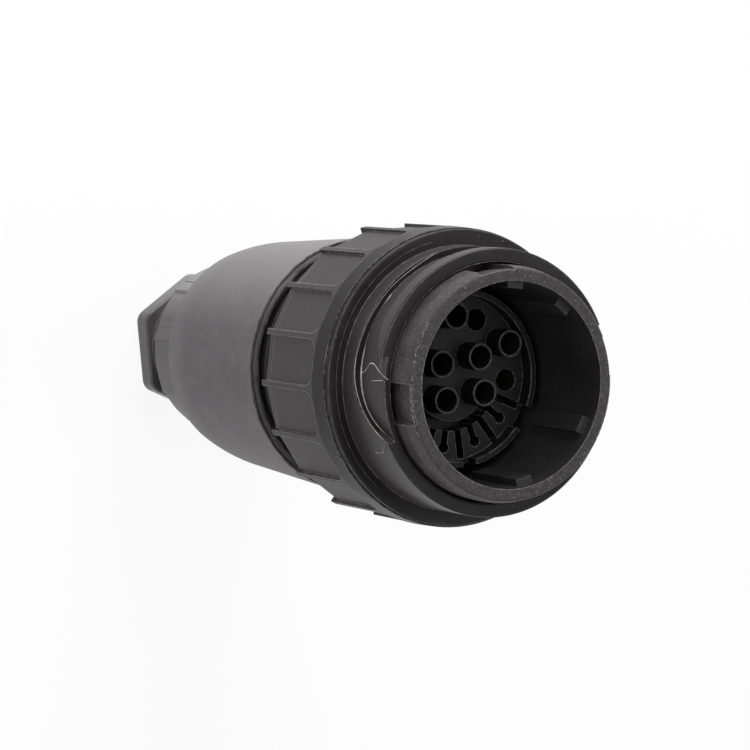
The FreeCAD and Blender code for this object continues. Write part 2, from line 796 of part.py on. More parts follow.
sweep_cos, sweep_sin = cosine(size("tooth_sweep")), sine(size("tooth_sweep"))
outline(tooth, [
    (root, ZERO),
    (tip, ZERO),
    (sweep_cos * toe, -(sweep_sin * toe)),
    (sweep_cos * root, -(sweep_sin * root)),
])
one_tooth = pad(nut, "tooth", tooth, nut_collar_front - nut_collar_rear)
polar(nut, "teeth", one_tooth, size("tooth_count"))
spin(nut, size("tooth_phase"))

hexagon = new_body("hexagon")
hex_sketch = new_sketch(hexagon, "hexagon_outline", "XY_Plane")
corner_radius = size("hex_across_flats") / (cosine(30.0) * 2)
hex_corners = []
for step in range(6):
    hex_corners.append((cosine(30.0 + 60.0 * step) * corner_radius, sine(30.0 + 60.0 * step) * corner_radius))
hex_corners = [(ZERO if abs(x.value) < 1e-9 else x, y) for x, y in hex_corners]
outline(hex_sketch, hex_corners)
block = pad(hexagon, "hexagon_block", hex_sketch, size("hex_thickness"))
doc.recompute()
upright = []
for index, edge in enumerate(hexagon.Shape.Edges, start=1):
    ends = [vertex.Point for vertex in edge.Vertexes]
    if len(ends) == 2 and abs(ends[0].z - ends[1].z) > 1.0:
        upright.append("Edge%d" % index)
rounding = hexagon.newObject("PartDesign::Fillet", "hexagon_corners")
rounding.Base = (block, upright)
bind(rounding, "Radius", size("hex_corner"))
doc.recompute()
rims = []
for index, edge in enumerate(hexagon.Shape.Edges, start=1):
    heights = [vertex.Point.z for vertex in edge.Vertexes]
    if max(heights) - min(heights) < 1e-6:
        rims.append("Edge%d" % index)
softening = hexagon.newObject("PartDesign::Fillet", "hexagon_rims")
softening.Base = (rounding, rims)
bind(softening, "Radius", size("hex_rim"))
spin(hexagon, size("hex_phase"))
whole_nut = fuse("whole_nut", [nut, hexagon])
cable_hole = cylinder("cable_hole", size("cable_bore"), dim(-1.0), stem_front + 2.0)
node("gland_nut", cut("gland_nut", whole_nut, cable_hole))

doc.recompute()
for thing in doc.Objects:
    for state in thing.State:
        if state in ("Invalid", "Error"):
            raise RuntimeError("%s is %s" % (thing.Name, state))
os.makedirs("parts", exist_ok=True)
for name, thing in NODES.items():
    shape = thing.Shape
    if shape.isNull() or not shape.isValid():
        raise RuntimeError("%s has no valid shape" % name)
    if len(shape.Solids) != 1:
        raise RuntimeError("%s has %d solids" % (name, len(shape.Solids)))
    box = shape.BoundBox
    print("%-18s volume %9.1f  z %7.2f to %7.2f  r %6.2f" % (name, shape.Volume, box.ZMin, box.ZMax, box.XMax))
for name, thing in NODES.items():
    thing.Shape.exportStep(os.path.join("parts", name + ".step"))
print("wrote", len(NODES), "parts")
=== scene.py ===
import json
import math
import random

import bpy
from mathutils import Matrix, Vector
from mathutils.bvhtree import BVHTree
from mathutils.kdtree import KDTree


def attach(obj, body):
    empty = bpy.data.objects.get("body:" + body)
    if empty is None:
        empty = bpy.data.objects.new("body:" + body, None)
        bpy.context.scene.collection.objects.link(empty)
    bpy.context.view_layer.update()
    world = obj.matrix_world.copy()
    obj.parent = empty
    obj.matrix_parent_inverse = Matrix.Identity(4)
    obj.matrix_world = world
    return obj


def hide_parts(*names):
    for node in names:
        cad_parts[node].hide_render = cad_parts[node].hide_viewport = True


# A black moulded cable plug, dressed over its CAD frame. Metres throughout.
# The plug stands on its gland nut, mouth up, so the camera looks down on it with a roll.
# A place on it is (angle, depth, radius): degrees round the axis, then millimetres behind the mouth
# and out from the axis.

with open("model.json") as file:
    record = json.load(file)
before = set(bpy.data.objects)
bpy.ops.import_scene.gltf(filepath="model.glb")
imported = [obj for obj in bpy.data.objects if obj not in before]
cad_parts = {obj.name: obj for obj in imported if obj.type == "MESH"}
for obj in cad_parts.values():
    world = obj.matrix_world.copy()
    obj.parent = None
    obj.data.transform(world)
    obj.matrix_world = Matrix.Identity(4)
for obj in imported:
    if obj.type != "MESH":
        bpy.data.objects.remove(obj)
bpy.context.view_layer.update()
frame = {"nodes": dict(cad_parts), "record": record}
nodes = frame["nodes"]
print("frame loaded, nodes:", len(nodes))

plug = {
    "height": 0.123,
    "spinDegrees": 9.8,
    "mm": 0.001,
    # the side that is painted pale, as painted light
    "paintedLightSide": 270,
}


def onPlug(angle, depth, radius):
    turn = math.radians(angle - plug["spinDegrees"])
    flat = Vector((math.cos(turn), math.sin(turn), 0)) * radius * plug["mm"]
    return flat + Vector((0, 0, plug["height"] - depth * plug["mm"]))


def placeOf(point):
    # the other way round: a point's angle, depth and radius
    x, y, z = point / plug["mm"]
    angle = math.degrees(math.atan2(y, x)) + plug["spinDegrees"]
    return angle, plug["height"] / plug["mm"] - z, math.hypot(x, y)


def clearSelection():
    if bpy.context.object and bpy.context.object.mode != "OBJECT":
        bpy.ops.object.mode_set(mode="OBJECT")
    bpy.ops.object.select_all(action="DESELECT")


def work(piece):
    clearSelection()
    piece.select_set(True)
    bpy.context.view_layer.objects.active = piece


# camera, from the photograph's viewing angle
shot = {
    "lens": 168.0,
    "sensor": 36.0,
    "turnDegrees": 29.305,
    "tiltDegrees": -3.809,
    "distance": 0.602327,
    "mouthPixel": (512.60, 385.22),
    "frameSize": 750.0,
    "clipStart": 0.05,
}


def plugAxesInView():
    # directions of the plug's X, Y and Z as the camera sees them
    turn = math.radians(shot["turnDegrees"])
    tilt = math.radians(shot["tiltDegrees"])
    spin = math.radians(plug["spinDegrees"])
    along = Vector((math.sin(turn) * math.cos(tilt), math.sin(tilt), math.cos(turn) * math.cos(tilt)))
    left = along.cross(Vector((0, 1, 0))).normalized()
    down = along.cross(left)
    xAxis = left * math.cos(spin) + down * math.sin(spin)
    yAxis = down * math.cos(spin) - left * math.sin(spin)
    return Matrix((xAxis, yAxis, along)).transposed()


focal = shot["lens"] / shot["sensor"] * shot["frameSize"]
half = shot["frameSize"] / 2
mouthX, mouthY = shot["mouthPixel"]
mouthInView = Vector(((mouthX - half) / focal, (half - mouthY) / focal, -1.0)) * shot["distance"]
viewToPlug = plugAxesInView().transposed()
cameraPlace = viewToPlug @ -mouthInView + Vector((0, 0, plug["height"]))
cameraData = bpy.data.cameras.new("photoCamera")
cameraData.lens = shot["lens"]
cameraData.sensor_width = shot["sensor"]
cameraData.clip_start = shot["clipStart"]
camera = bpy.data.objects.new("photoCamera", cameraData)
camera.matrix_world = Matrix.Translation(cameraPlace) @ viewToPlug.to_4x4()
bpy.context.scene.collection.objects.link(camera)
bpy.context.scene.camera = camera
print("camera placed")


# finishes
def addNode(tree, kind, **values):
    node = tree.nodes.new(kind)
    for name, value in values.items():
        node.inputs[name].default_value = value
    return node


def ramp(tree, source, fromLow, fromHigh, toLow, toHigh):
    step = tree.nodes.new("ShaderNodeMapRange")
    for index, value in enumerate((fromLow, fromHigh, toLow, toHigh), start=1):
        step.inputs[index].default_value = value
    tree.links.new(source, step.inputs[0])
    return step.outputs["Result"]


def times(tree, first, second):
    step = tree.nodes.new("ShaderNodeMath")
    step.operation = "MULTIPLY"
    tree.links.new(first, step.inputs[0])
    tree.links.new(second, step.inputs[1])
    return step.outputs["Value"]


def blendColour(tree, base, top, amount):
    # base is a colour or an earlier blend, top is the colour laid over it; sockets 6, 7 and 2 are colours
    mix = tree.nodes.new("ShaderNodeMix")
    mix.data_type = "RGBA"
    colourA, colourB = mix.inputs[6], mix.inputs[7]
    if isinstance(base, tuple):
        colourA.default_value = (*base, 1.0)
    else:
        tree.links.new(base, colourA)
    colourB.default_value = (*top, 1.0)
    tree.links.new(amount, mix.inputs["Factor"])
    return mix.outputs[2]


def roundCoordinates(tree, place, stretch):
    # angle round the axis, height and radius, each stretched, so that a pattern can run round the plug
    split = tree.nodes.new("ShaderNodeSeparateXYZ")
    tree.links.new(place, split.inputs[0])
    turn = tree.nodes.new("ShaderNodeMath")
    turn.operation = "ARCTAN2"
    tree.links.new(split.outputs["Y"], turn.inputs[0])
    tree.links.new(split.outputs["X"], turn.inputs[1])
    flat = addNode(tree, "ShaderNodeVectorMath")
    flat.operation = "MULTIPLY"
    tree.links.new(place, flat.inputs[0])
    flat.inputs[1].default_value = (1, 1, 0)
    radius = tree.nodes.new("ShaderNodeVectorMath")
    radius.operation = "LENGTH"
    tree.links.new(flat.outputs["Vector"], radius.inputs[0])
    join = tree.nodes.new("ShaderNodeCombineXYZ")
    sources = (turn.outputs["Value"], split.outputs["Z"], radius.outputs["Value"])
    for index, (source, factor) in enumerate(zip(sources, stretch)):
        scaled = tree.nodes.new("ShaderNodeMath")
        scaled.operation = "MULTIPLY"
        scaled.inputs[1].default_value = factor
        tree.links.new(source, scaled.inputs[0])
        tree.links.new(scaled.outputs["Value"], join.inputs[index])
    return join.outputs["Vector"]


moulding = {
    # what all the plastics share; a band is where a pattern begins and where it is full
    "hazeDetail": 5.0, "hazeRoughness": 0.62, "hazeBand": (0.36, 0.66),
    "streakDetail": 3.0, "streakRoughness": 0.7, "streakBand": 0.09, "streakHeight": 0.00006,
    "paintedLightBand": (0.006, 0.023), "roundedSamples": 6, "edgeWearAndGlintBand": (0.985, 0.86),
    "edgeWearAndGlintGaps": (0.42, 0.56, 0.2, 1.0), "speckBand": (0.035, 0.085), "speckChoice": (0.72, 0.76),
    "glossBand": (0.3, 0.7), "grainDetail": 3.0,
}


def makePlastic(name, look):
    material = bpy.data.materials.new(name)
    material.use_nodes = True
    tree = material.node_tree
    shader = tree.nodes["Principled BSDF"]
    shader.inputs["Specular IOR Level"].default_value = look["specular"]
    place = tree.nodes.new("ShaderNodeTexCoord").outputs["Object"]

    haze = addNode(tree, "ShaderNodeTexNoise", Scale=look["hazeScale"],
                   Detail=moulding["hazeDetail"], Roughness=moulding["hazeRoughness"])
    tree.links.new(place, haze.inputs["Vector"])
    clouded = ramp(tree, haze.outputs["Fac"], *moulding["hazeBand"], 0.0, 1.0)
    colour = blendColour(tree, look["dark"], look["light"], clouded)

    streak = addNode(tree, "ShaderNodeTexNoise", Scale=1.0,
                     Detail=moulding["streakDetail"], Roughness=moulding["streakRoughness"])
    tree.links.new(roundCoordinates(tree, place, look["streakStretch"]), streak.inputs["Vector"])
    streakFull = look["streakFrom"] + moulding["streakBand"]
    scratched = ramp(tree, streak.outputs["Fac"], look["streakFrom"], streakFull, 0.0, look["streakAmount"])
    colour = blendColour(tree, colour, look["pale"], scratched)

    # painted light: the side that faces the light is painted pale, as a painted highlight
    side = tree.nodes.new("ShaderNodeVectorMath")
    side.operation = "DOT_PRODUCT"
    tree.links.new(place, side.inputs[0])
    side.inputs[1].default_value = (onPlug(plug["paintedLightSide"], 0, 1) - onPlug(0, 0, 0)) / plug["mm"]
    paintedTopLight = ramp(tree, side.outputs["Value"], *moulding["paintedLightBand"], 0.0, look["paintedTopLight"])
    colour = blendColour(tree, colour, look["pale"], paintedTopLight)

    # worn edges with a painted highlight: where the rounded normal leaves the face's own, the edge is
    # painted pale, partly edge wear and partly painted glint
    rounded = addNode(tree, "ShaderNodeBevel", Radius=look["edge"])
    rounded.samples = moulding["roundedSamples"]
    surface = tree.nodes.new("ShaderNodeNewGeometry")
    agree = tree.nodes.new("ShaderNodeVectorMath")
    agree.operation = "DOT_PRODUCT"
    tree.links.new(rounded.outputs["Normal"], agree.inputs[0])
    tree.links.new(surface.outputs["Normal"], agree.inputs[1])
    edgeWearAndGlint = ramp(tree, agree.outputs["Value"], *moulding["edgeWearAndGlintBand"], 0.0, look["edgeWearAndGlint"])
    edgeWearAndGlint = times(tree, edgeWearAndGlint, ramp(tree, streak.outputs["Fac"], *moulding["edgeWearAndGlintGaps"]))
    colour = blendColour(tree, colour, look["pale"], edgeWearAndGlint)

    dust = addNode(tree, "ShaderNodeTexVoronoi", Scale=look["dustScale"])
    tree.links.new(place, dust.inputs["Vector"])
    chosen = tree.nodes.new("ShaderNodeSeparateColor")
    tree.links.new(dust.outputs["Color"], chosen.inputs[0])
    speck = ramp(tree, dust.outputs["Distance"], *moulding["speckBand"], look["dustAmount"], 0.0)
    speck = times(tree, speck, ramp(tree, chosen.outputs["Red"], *moulding["speckChoice"], 0.0, 1.0))
    colour = blendColour(tree, colour, look["dust"], speck)
    tree.links.new(colour, shader.inputs["Base Color"])

    gloss = ramp(tree, haze.outputs["Fac"], *moulding["glossBand"], *look["roughness"])
    tree.links.new(gloss, shader.inputs["Roughness"])

    grain = addNode(tree, "ShaderNodeTexNoise", Scale=look["grainScale"], Detail=moulding["grainDetail"])
    tree.links.new(place, grain.inputs["Vector"])
    fine = addNode(tree, "ShaderNodeBump", Strength=look["grainStrength"], Distance=look["grainHeight"])
    tree.links.new(grain.outputs["Fac"], fine.inputs["Height"])
    tree.links.new(rounded.outputs["Normal"], fine.inputs["Normal"])
    coarse = addNode(tree, "ShaderNodeBump", Strength=look["streakBump"], Distance=moulding["streakHeight"])
    tree.links.new(streak.outputs["Fac"], coarse.inputs["Height"])
    tree.links.new(fine.outputs["Normal"], coarse.inputs["Normal"])
    tree.links.new(coarse.outputs["Normal"], shader.inputs["Normal"])
    return material


turned = {
    # tarnish clouds, and the fine lines of turning
    "cloudDetail": 4.0, "cloudBand": (0.35, 0.7), "glossBand": (0.3, 0.7),
    "lineStretch": (2.0, 6000.0, 6000.0), "lineDetail": 2.0, "lineStrength": 0.2, "lineHeight": 0.00002,
}


def makeMetal(name, look):
    material = bpy.data.materials.new(name)
    material.use_nodes = True
    tree = material.node_tree
    shader = tree.nodes["Principled BSDF"]
    shader.inputs["Metallic"].default_value = 1.0
    place = tree.nodes.new("ShaderNodeTexCoord").outputs["Object"]
    cloud = addNode(tree, "ShaderNodeTexNoise", Scale=look["cloudScale"], Detail=turned["cloudDetail"])
    tree.links.new(place, cloud.inputs["Vector"])
    tarnish = ramp(tree, cloud.outputs["Fac"], *turned["cloudBand"], 0.0, 1.0)
    tree.links.new(blendColour(tree, look["bright"], look["tarnish"], tarnish), shader.inputs["Base Color"])
    gloss = ramp(tree, cloud.outputs["Fac"], *turned["glossBand"], *look["roughness"])
    tree.links.new(gloss, shader.inputs["Roughness"])
    lines = addNode(tree, "ShaderNodeTexNoise", Scale=1.0, Detail=turned["lineDetail"])
    tree.links.new(roundCoordinates(tree, place, turned["lineStretch"]), lines.inputs["Vector"])
    relief = addNode(tree, "ShaderNodeBump", Strength=turned["lineStrength"], Distance=turned["lineHeight"])
    tree.links.new(lines.outputs["Fac"], relief.inputs["Height"])
    tree.links.new(relief.outputs["Normal"], shader.inputs["Normal"])
    return material


ringLook = {
    "dark": (0.0335, 0.0302, 0.0320), "light": (0.0460, 0.0420, 0.0442), "pale": (0.300, 0.280, 0.288),
    "dust": (0.40, 0.38, 0.37), "specular": 0.20, "paintedTopLight": 0.0, "roughness": (0.42, 0.55),
    "hazeScale": 90.0, "streakStretch": (26.0, 900.0, 900.0), "streakFrom": 0.66, "streakAmount": 0.20,
    "streakBump": 0.08, "dustScale": 420.0, "dustAmount": 0.45, "grainScale": 2300.0,
    "grainStrength": 0.55, "grainHeight": 0.00008, "edge": 0.00034, "edgeWearAndGlint": 0.85,
}
# the flange, a darker copy of the ring's black: painted shade where it faces away from the light
flangeShadedLook = {
    **ringLook, "dark": (0.0110, 0.0097, 0.0103), "light": (0.0165, 0.0148, 0.0156),
    "roughness": (0.30, 0.42), "specular": 0.13, "grainStrength": 0.15, "edgeWearAndGlint": 0.75,
}
# faces of the tube that face the mouth, such as the groove's rear wall, painted darker: painted shade
grooveShadedLook = {**flangeShadedLook, "edgeWearAndGlint": 0.5}
tubeLook = {
    **ringLook, "dark": (0.0310, 0.0284, 0.0297), "light": (0.0450, 0.0416, 0.0433),
    "roughness": (0.28, 0.40), "specular": 0.16, "grainStrength": 0.18,
}
shellLook = {
    **ringLook, "dark": (0.0340, 0.0314, 0.0327), "light": (0.0600, 0.0560, 0.0580),
    "dustAmount": 0.35, "hazeScale": 260.0, "streakStretch": (40.0, 2600.0, 2600.0),
    "streakFrom": 0.58, "streakAmount": 0.35, "streakBump": 0.20,
}
rimLook = {
    **ringLook, "dark": (0.0220, 0.0202, 0.0212), "light": (0.0420, 0.0390, 0.0406),
    "hazeScale": 1100.0, "streakFrom": 0.59, "streakAmount": 0.36,
    "streakStretch": (50.0, 2400.0, 2400.0), "streakBump": 0.4, "grainStrength": 0.6,
    "grainHeight": 0.00010, "grainScale": 1800.0, "edge": 0.00030, "edgeWearAndGlint": 1.0,
}
# the bore wall, a darker copy of the shell's black: painted shade inside the mouth
boreShadedLook = {
    **ringLook, "dark": (0.0175, 0.0165, 0.0171), "light": (0.0235, 0.0223, 0.0229), "dustAmount": 0.2,
    "edge": 0.00012, "edgeWearAndGlint": 0.4,
}
# the housing's side towards the light is painted paler: painted light
housingLook = {
    **ringLook, "dark": (0.0760, 0.0705, 0.0742), "light": (0.1260, 0.1180, 0.1235),
    "pale": (0.20, 0.188, 0.195), "roughness": (0.45, 0.6), "hazeScale": 75.0,
    "streakStretch": (4.5, 150.0, 150.0), "streakFrom": 0.54, "streakAmount": 0.14, "streakBump": 0.0,
    "dustScale": 300.0, "dustAmount": 0.3, "grainScale": 1900.0, "grainStrength": 0.35, "edgeWearAndGlint": 0.2,
    "paintedTopLight": 0.75,
}
# the nut's side towards the light is painted pale: a painted highlight band
nutLook = {
    **ringLook, "dark": (0.0500, 0.0465, 0.0485), "light": (0.0700, 0.0655, 0.0680),
    "streakAmount": 0.1, "roughness": (0.26, 0.38), "specular": 0.35, "edgeWearAndGlint": 0.35, "paintedTopLight": 0.95,
}
insertLook = {
    **ringLook, "dark": (0.0060, 0.0056, 0.0058), "light": (0.0095, 0.0089, 0.0092),
    "roughness": (0.40, 0.52), "specular": 0.14, "streakAmount": 0.08, "streakBump": 0.03,
    "dustAmount": 0.3, "grainScale": 3200.0, "edge": 0.00022, "edgeWearAndGlint": 1.0,
}
# the ends of the sleeves, painted lighter: painted glints on their edges
sleeveGlintLook = {
    **ringLook, "dark": (0.0600, 0.0560, 0.0580), "light": (0.1200, 0.1130, 0.1160),
    "hazeScale": 700.0, "roughness": (0.22, 0.34), "specular": 0.4, "dustAmount": 0.1,
}
rubberLook = {
    **ringLook, "dark": (0.010, 0.010, 0.010), "light": (0.016, 0.016, 0.0155),
    "roughness": (0.62, 0.75), "edgeWearAndGlint": 0.1,
}
# grey and pale of the mould flash, used also for the strings that paint edge highlights
flashAndGlintLook = {
    **ringLook, "dark": (0.12, 0.113, 0.110), "light": (0.22, 0.208, 0.203),
    "pale": (0.36, 0.34, 0.335), "hazeScale": 900.0, "dustAmount": 0.2, "edge": 0.00003, "edgeWearAndGlint": 0.1,
}
flashAndGlintPaleLook = {**flashAndGlintLook, "dark": (0.34, 0.32, 0.315), "light": (0.62, 0.59, 0.58)}
brassLook = {
    "bright": (0.24, 0.18, 0.10), "tarnish": (0.09, 0.068, 0.045), "cloudScale": 700.0,
    "roughness": (0.32, 0.5),
}
steelLook = {
    "bright": (0.50, 0.50, 0.51), "tarnish": (0.36, 0.36, 0.36), "cloudScale": 500.0,
    "roughness": (0.28, 0.42),
}

ringBlack = makePlastic("ringBlack", ringLook)
flangeShadedBlack = makePlastic("flangeShadedBlack", flangeShadedLook)
tubeBlack = makePlastic("tubeBlack", tubeLook)
boreShadedBlack = makePlastic("boreShadedBlack", boreShadedLook)
grooveShadedBlack = makePlastic("grooveShadedBlack", grooveShadedLook)
rimWornAndGlinting = makePlastic("rimWornAndGlinting", rimLook)
sleeveEndGlint = makePlastic("sleeveEndGlint", sleeveGlintLook)
shellBlack = makePlastic("shellBlack", shellLook)
housingGrey = makePlastic("housingGrey", housingLook)
nutBlack = makePlastic("nutBlack", nutLook)
insertBlack = makePlastic("insertBlack", insertLook)
sealRubber = makePlastic("sealRubber", rubberLook)
flashAndGlintGrey = makePlastic("flashAndGlintGrey", flashAndGlintLook)
flashAndGlintPale = makePlastic("flashAndGlintPale", flashAndGlintPaleLook)
contactBrass = makeMetal("contactBrass", brassLook)
springSteel = makeMetal("springSteel", steelLook)

finishOfSlot = {
    "shell_plastic": shellBlack,
    "ring_plastic": ringBlack,
    "housing_plastic": housingGrey,
    "insert_plastic": insertBlack,
    "spring_steel": springSteel,
    "seal_rubber": sealRubber,
    "contact_brass": contactBrass,
}
slotOfNode = {entry["node"]: entry["material_slot"] for entry in frame["record"]["subparts"]}
for name, node in nodes.items():
    node.data.materials.clear()
    node.data.materials.append(finishOfSlot[slotOfNode[name]])
print("finishes given to the CAD nodes")


# dressed copies of the moulded parts: loose triangles are joined, then the copy keeps the CAD's
# smooth normals, or gets softened edges
joining = {
    "gap": 0.000002,
    "flatDegrees": 1,
}


def copyOfNode(nodeName, pieceName, wholeFaces=False):
    piece = bpy.data.objects.new(pieceName, nodes[nodeName].data.copy())
    piece.data.name = pieceName
    bpy.context.scene.collection.objects.link(piece)
    work(piece)
    bpy.ops.object.mode_set(mode="EDIT")
    bpy.ops.mesh.select_all(action="SELECT")
    bpy.ops.mesh.remove_doubles(threshold=joining["gap"])
    if wholeFaces:
        bpy.ops.mesh.dissolve_limited(angle_limit=math.radians(joining["flatDegrees"]))
    bpy.ops.mesh.select_all(action="DESELECT")
    bpy.ops.object.mode_set(mode="OBJECT")
    return piece


softening = {
    "smoothDegrees": 32,
    "flatWeight": 100,
    "segments": 2,
    "edgeDegrees": 30,
    "strayShare": 0.75,
}


def smoothByAngle(piece):
    work(piece)
    bpy.ops.object.shade_smooth_by_angle(angle=math.radians(softening["smoothDegrees"]))
    weighted = piece.modifiers.new("flatFacesStayFlat", "WEIGHTED_NORMAL")
    weighted.mode = "FACE_AREA"
    weighted.weight = softening["flatWeight"]
    weighted.keep_sharp = True
    bpy.ops.object.modifier_apply(modifier=weighted.name)


def keepCadNormals(piece, nodeName):
    # the CAD's own smooth normals, carried over to the joined copy face by face
    source = nodes[nodeName].data
    centres = KDTree(len(source.polygons))
    for face in source.polygons:
        centres.insert(face.center, face.index)
    centres.balance()
    work(piece)
    bpy.ops.object.shade_smooth()
    normals = [None] * len(piece.data.loops)
    for face in piece.data.polygons:
        twin = source.polygons[centres.find(face.center)[1]]
        corners = []
        for loop in twin.loop_indices:
            corner = source.vertices[source.loops[loop].vertex_index].co
            corners.append((corner, source.corner_normals[loop].vector))
        for loop in face.loop_indices:
            here = piece.data.vertices[piece.data.loops[loop].vertex_index].co
            normals[loop] = min(corners, key=lambda corner: (corner[0] - here).length_squared)[1]
    piece.data.normals_split_custom_set(normals)


def soften(piece, width):
    points = [vertex.co for vertex in piece.data.vertices]
    surface = BVHTree.FromPolygons(points, [face.vertices for face in piece.data.polygons])
    work(piece)
    edges = piece.modifiers.new("softEdges", "BEVEL")
    edges.width = width
    edges.segments = softening["segments"]
    edges.limit_method = "ANGLE"
    edges.angle_limit = math.radians(softening["edgeDegrees"])
    edges.use_clamp_overlap = False
    bpy.ops.object.modifier_apply(modifier=edges.name)
    for vertex in piece.data.vertices:
        near, _, _, gap = surface.find_nearest(vertex.co)
        if gap > width * softening["strayShare"]:
            vertex.co = near  # a bevel between very short edges shoots out, so it goes back
    smoothByAngle(piece)


def giveFinish(piece, material):
    piece.data.materials.clear()
    piece.data.materials.append(material)


def standFor(piece, nodeName, body, material):
    giveFinish(piece, material)
    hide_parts(nodeName)
    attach(piece, body)


def finishWhere(piece, material, inside, facing=-1.1):
    # a second finish for the faces whose centre (depth, radius) in millimetres passes the test;
    # facing is the least that their normals point up, and below -1 takes them all
    piece.data.materials.append(material)
    index = len(piece.data.materials) - 1
    for face in piece.data.polygons:
        _, depth, radius = placeOf(face.center)
        if face.normal.z >= facing and inside(depth, radius):
            face.material_index = index


grip = {
    "flangeFrom": 17.6,
    "gripFrom": 23.25,
    "grooveUp": 0.6,
    "tubeRadius": 23.5,
    "floorRadii": (21.9, 22.6),
    "floorDepths": (8.4, 14.3),
    "closedAngles": (24.5, 96.0),
}


def isClosed(angle, depth, radius):
    # on the floor of the second groove, in the stretch that the photograph shows whole
    ranges = ((grip["closedAngles"], angle), (grip["floorDepths"], depth), (grip["floorRadii"], radius))
    return all(low < value < high for (low, high), value in ranges)


ring = copyOfNode("coupling_ring", "gripRing")
keepCadNormals(ring, "coupling_ring")
for vertex in ring.data.vertices:
    angle, depth, radius = placeOf(vertex.co)
    if isClosed(angle, depth, radius):
        filled = grip["tubeRadius"] / radius
        vertex.co = (vertex.co.x * filled, vertex.co.y * filled, vertex.co.z)
standFor(ring, "coupling_ring", "ring", ringBlack)
finishWhere(ring, tubeBlack, lambda depth, radius: depth < grip["flangeFrom"])
# painted shade: the flange zone gets the darker finish
finishWhere(ring, flangeShadedBlack, lambda depth, radius: grip["flangeFrom"] <= depth < grip["gripFrom"])
# painted shade on the tube's faces that face the mouth
finishWhere(ring, grooveShadedBlack, lambda depth, radius: depth < grip["flangeFrom"], facing=grip["grooveUp"])

mouth = {
    "boreRadius": 18.3,
    "rimDepth": 0.45,
}
shell = copyOfNode("front_shell", "mouthShell")
keepCadNormals(shell, "front_shell")
standFor(shell, "front_shell", "plug", shellBlack)
# painted shade: the bore wall inside the mouth gets the darker finish
finishWhere(shell, boreShadedBlack,
            lambda depth, radius: radius < mouth["boreRadius"] and depth > mouth["rimDepth"])
# the rim's edges are painted palest: edge wear and painted highlight
finishWhere(shell, rimWornAndGlinting, lambda depth, radius: depth < mouth["rimDepth"])

softened = {
    # node: piece name, softened edge, finish
    "locking_collar": ("backCollar", 0.00010, shellBlack),
    "gland_nut": ("hexNut", 0.00035, nutBlack),
}
for nodeName, (pieceName, width, material) in softened.items():
    piece = copyOfNode(nodeName, pieceName, wholeFaces=True)
    soften(piece, width)
    standFor(piece, nodeName, "plug", material)

sockets = {
    "frontFrom": 27.9,
    "frontTo": 28.12,
}
block = copyOfNode("contact_insert", "socketBlock")
keepCadNormals(block, "contact_insert")
standFor(block, "contact_insert", "plug", insertBlack)
# painted highlight: the sleeve ends get the lighter finish
finishWhere(block, sleeveEndGlint, lambda depth, radius: sockets["frontFrom"] < depth < sockets["frontTo"])
print("moulded parts dressed")

# rear housing: its front edge is a little ragged from the mould
hood = {
    "raggedness": 0.00018,
    "seed": 4,
    "rimDepth": 0.0004,
}
housing = copyOfNode("rear_housing", "cableHood")
keepCadNormals(housing, "rear_housing")
frontLevel = max(vertex.co.z for vertex in housing.data.vertices)
work(housing)
for vertex in housing.data.vertices:
    vertex.select = vertex.co.z > frontLevel - hood["rimDepth"]
bpy.ops.object.mode_set(mode="EDIT")
bpy.ops.transform.vertex_random(offset=hood["raggedness"], seed=hood["seed"])
bpy.ops.object.mode_set(mode="OBJECT")
standFor(housing, "rear_housing", "plug", housingGrey)
print("cable hood done, faces:", len(housing.data.polygons))


# torn mould flash: thin strings of plastic left on the edges, and fine bright edge lines, pale strings that
# paint the edges' highlights
strand = {
    "sides": 1,
    "steps": 6,
    "order": 3,
    "slots": {"ring": "ring_plastic", "plug": "shell_plastic"},
}


def makeString(name, path, thick, finish, body, swell):
    # path: (angle, depth, radius) along the string; swell: how its thickness comes and goes
    curve = bpy.data.curves.new(name, "CURVE")
    curve.dimensions = "3D"
    curve.bevel_depth = thick * plug["mm"]
    curve.bevel_resolution = strand["sides"]
    curve.resolution_u = strand["steps"]
    curve.use_fill_caps = True
    spline = curve.splines.new("NURBS")
    spline.points.add(len(path) - 1)
    for index, place in enumerate(path):
        spline.points[index].co = (*onPlug(*place), 1.0)
        spline.points[index].radius = swell[index % len(swell)]
    spline.order_u = strand["order"]
    spline.use_endpoint_u = True
    piece = bpy.data.objects.new(name, curve)
    bpy.context.scene.collection.objects.link(piece)
    work(piece)
    bpy.ops.object.convert(target="MESH")
    piece = bpy.context.object
    piece.data.name = name
    bpy.ops.object.shade_smooth()
    giveFinish(piece, finish)
    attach(piece, body)


seam = {
    "angles": (-34, 64),
    "depth": 23.05,
    "radius": 26.55,
    "stray": 0.05,
    "waves": 7.0,
}
seamPath = []
for angle in range(*seam["angles"]):
    stray = seam["stray"] * math.sin(angle * seam["waves"])
    seamPath.append((angle, seam["depth"] + stray, seam["radius"]))

